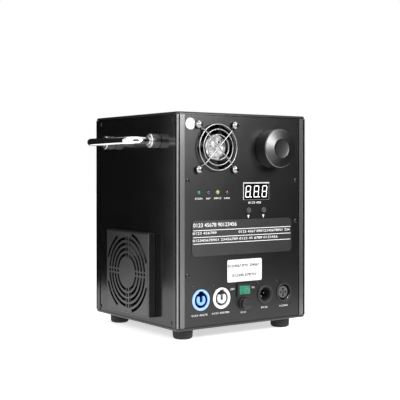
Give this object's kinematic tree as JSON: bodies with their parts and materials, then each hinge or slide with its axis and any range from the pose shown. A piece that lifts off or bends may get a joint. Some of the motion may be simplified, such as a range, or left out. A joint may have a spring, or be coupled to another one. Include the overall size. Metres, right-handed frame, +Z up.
{
  "type": "cold spark machine",
  "caption": "Upright black steel spark effect machine with top nozzle, filler cap, fans, vent hood, side handle, display, buttons, power and data sockets.",
  "frame": {"origin": "middle of the whole outline, level with the underside of the feet", "axes": "+Z up along the nozzle, -Y out of the control panel, -X out of the side with the handle"},
  "size_m": [0.2246, 0.204, 0.2583],
  "materials": {
    "coat": "satin powder coat",
    "side_coat": "gloss powder coat",
    "hood_coat": "matt powder coat",
    "black_plastic": "satin",
    "rubber": "matt",
    "chrome": "polished",
    "ferrule": "turned",
    "steel": "brushed",
    "supply_case": "plain sheet",
    "board": "solder mask",
    "fibre": "fibrous, a heat-proof sleeve",
    "blue_plastic": "satin",
    "white_plastic": "satin",
    "green_plastic": "glossy, translucent",
    "lamp_green": "clear dome",
    "lamp_blue": "clear dome",
    "lamp_yellow": "clear dome",
    "lamp_red": "clear dome",
    "display": "smoked window",
    "plate": "matt",
    "fuse_glass": "clear tube with metal ends"
  },
  "bodies": {
    "case": {"base_plate": "coat", "top_cover": "coat", "corner_post_front_left": "coat", "corner_post_front_right": "coat", "corner_post_back_right": "coat", "corner_post_back_left": "coat", "foot_front_left": "rubber", "foot_front_right": "rubber", "foot_back_right": "rubber", "foot_back_left": "rubber", "control_panel": "coat", "handle_side_panel": "side_coat", "back_panel": "side_coat", "plain_side_panel": "side_coat", "panel_fan_frame": "black_plastic", "side_fan_frame": "black_plastic", "fan_guard": "chrome", "guard_screw_1": "chrome", "guard_screw_2": "chrome", "guard_screw_3": "chrome", "guard_screw_4": "chrome", "filler_neck": "black_plastic", "lamp_green": "lamp_green", "lamp_blue": "lamp_blue", "lamp_yellow": "lamp_yellow", "lamp_red": "lamp_red", "display": "display", "control_board": "board", "rating_plate": "plate", "power_in_socket": "blue_plastic", "power_out_socket": "white_plastic", "data_in_socket": "black_plastic", "data_out_socket": "black_plastic", "switch_body": "black_plastic", "fuse_holder": "black_plastic", "carry_handle": "chrome", "handle_ferrule_front": "ferrule", "handle_ferrule_back": "ferrule", "vent_hood": "hood_coat", "blower_housing": "black_plastic", "heater_tube": "steel", "heater_sleeve": "fibre", "nozzle_tube": "steel", "nozzle_ring": "steel", "feed_tube": "steel", "feed_motor": "steel", "hopper": "black_plastic", "power_supply": "supply_case", "driver_board": "board"},
    "rocker": {"switch_rocker": "green_plastic"},
    "left_button": {"button_left": "black_plastic"},
    "right_button": {"button_right": "black_plastic"},
    "seal": {"cap_seal": "rubber"},
    "cap": {"filler_cap": "black_plastic"},
    "fuse": {"fuse_link": "fuse_glass"},
    "fuse_holder_cap": {"fuse_cap": "black_plastic"},
    "panel_rotor": {"panel_fan_rotor": "black_plastic"},
    "side_rotor": {"side_fan_rotor": "black_plastic"},
    "impeller": {"blower_impeller": "black_plastic"},
    "auger": {"feed_auger": "steel"}
  },
  "joints": [
    {"name": "power_switch", "type": "hinge", "parent": "case", "child": "rocker", "pos_m": [0.01912, -0.08145, 0.0516], "axis": [0, 0, 1], "range_deg": [0, 20]},
    {"name": "button_left_press", "type": "slide", "parent": "case", "child": "left_button", "axis": [0, 1, 0], "range_m": [0, 0.001], "stiffness_N_per_m": 600},
    {"name": "button_right_press", "type": "slide", "parent": "case", "child": "right_button", "axis": [0, 1, 0], "range_m": [0, 0.001], "stiffness_N_per_m": 600},
    {"name": "filler_cap_lift", "type": "slide", "parent": "case", "child": "seal", "axis": [0, -1, 0], "range_m": [0, 0.0151]},
    {"name": "filler_cap_turn", "type": "hinge", "parent": "seal", "child": "cap", "pos_m": [0.05822, -0.08065, 0.2143], "axis": [0, -1, 0], "range_deg": [0, 1080]},
    {"name": "fuse_draw", "type": "slide", "parent": "case", "child": "fuse", "axis": [0, -1, 0], "range_m": [0, 0.03]},
    {"name": "fuse_cap_turn", "type": "hinge", "parent": "fuse", "child": "fuse_holder_cap", "pos_m": [0.01912, -0.08065, 0.036], "axis": [0, -1, 0], "range_deg": [0, 90]},
    {"name": "panel_fan_spin", "type": "hinge", "parent": "case", "child": "panel_rotor", "pos_m": [-0.02017, -0.07565, 0.215], "axis": [0, -1, 0], "continuous": true},
    {"name": "side_fan_spin", "type": "hinge", "parent": "case", "child": "side_rotor", "pos_m": [-0.06237, 0.01205, 0.07], "axis": [-1, 0, 0], "continuous": true},
    {"name": "blower_spin", "type": "hinge", "parent": "case", "child": "impeller", "pos_m": [-0.00378, 0.0103, 0.0533], "axis": [0, -1, 0], "continuous": true},
    {"name": "auger_spin", "type": "hinge", "parent": "case", "child": "auger", "pos_m": [0.01963, -0.0337, 0.1156], "axis": [0, -1, 0], "continuous": true}
  ],
  "couplings": [
    {"joint": "filler_cap_lift", "follows": "filler_cap_turn", "m_per_rad": 0.00080108}
  ]
}
